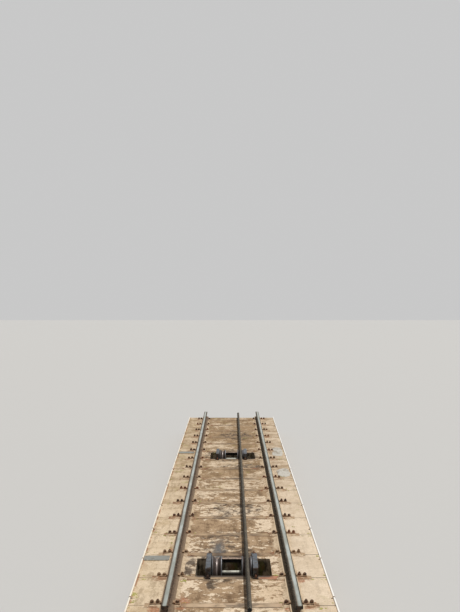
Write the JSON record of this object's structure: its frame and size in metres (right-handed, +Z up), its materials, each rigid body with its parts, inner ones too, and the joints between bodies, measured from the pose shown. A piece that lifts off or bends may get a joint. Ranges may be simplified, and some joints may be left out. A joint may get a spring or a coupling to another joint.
{
  "type": "funicular track section with rope sheave stations",
  "caption": "Straight concrete-bedded track section with steel sleepers, flat-bottom rails, and a haul rope on grooved sheaves that turn in open pits.",
  "frame": {"origin": "mid-length of the section, on the gauge centre line, on the underside of the bed", "axes": "+X to the right, +Y up the line along the rails, +Z up from the bed"},
  "size_m": [1.86, 12, 0.4921],
  "materials": {
    "concrete": "weathered cast concrete, patched and stained",
    "sleeper_steel": "rusty rolled steel, worn smooth on top",
    "rail_steel": "rusty sides with a bright running band",
    "fastening_steel": "dark rusty forgings",
    "rope_wire": "greased stranded wire",
    "conduit": "weathered pale plastic",
    "number_plate": "chalky pale paint",
    "frame_steel": "blue-grey paint, greasy and chipped",
    "shaft_steel": "turned steel, greasy",
    "spacer": "pale grey paint",
    "sheave_iron": "rusty brown with polished rims and tread"
  },
  "bodies": {
    "track": {"bed_near": "concrete", "bed_pit_1": "concrete", "bed_middle": "concrete", "bed_pit_2": "concrete", "bed_far": "concrete", "sleepers": "sleeper_steel", "haul_rope": "rope_wire", "rail_left": "rail_steel", "base_plates_left": "fastening_steel", "rail_clips_left": "fastening_steel", "edge_conduit_left": "conduit", "rail_right": "rail_steel", "base_plates_right": "fastening_steel", "rail_clips_right": "fastening_steel", "edge_conduit_right": "conduit", "cross_tie_1": "frame_steel", "sheave_shaft_1": "shaft_steel", "shaft_keepers_1": "fastening_steel", "spacer_tube_1": "spacer", "number_plate_1": "number_plate", "side_frame_left_1": "frame_steel", "side_frame_right_1": "frame_steel", "cross_tie_2": "frame_steel", "sheave_shaft_2": "shaft_steel", "shaft_keepers_2": "fastening_steel", "spacer_tube_2": "spacer", "number_plate_2": "number_plate", "side_frame_left_2": "frame_steel", "side_frame_right_2": "frame_steel"},
    "sheave_left_1_body": {"sheave_left_1": "sheave_iron"},
    "sheave_right_1_body": {"sheave_right_1": "sheave_iron"},
    "sheave_left_2_body": {"sheave_left_2": "sheave_iron"},
    "sheave_right_2_body": {"sheave_right_2": "sheave_iron"}
  },
  "joints": [
    {"name": "sheave_left_1_spin", "type": "hinge", "parent": "track", "child": "sheave_left_1_body", "pos_m": [-0.148, -4.5375, 0.288], "axis": [1, 0, 0], "continuous": true},
    {"name": "sheave_right_1_spin", "type": "hinge", "parent": "track", "child": "sheave_right_1_body", "pos_m": [0.148, -4.5375, 0.288], "axis": [1, 0, 0], "continuous": true},
    {"name": "sheave_left_2_spin", "type": "hinge", "parent": "track", "child": "sheave_left_2_body", "pos_m": [-0.148, 1.4625, 0.288], "axis": [1, 0, 0], "continuous": true},
    {"name": "sheave_right_2_spin", "type": "hinge", "parent": "track", "child": "sheave_right_2_body", "pos_m": [0.148, 1.4625, 0.288], "axis": [1, 0, 0], "continuous": true}
  ]
}
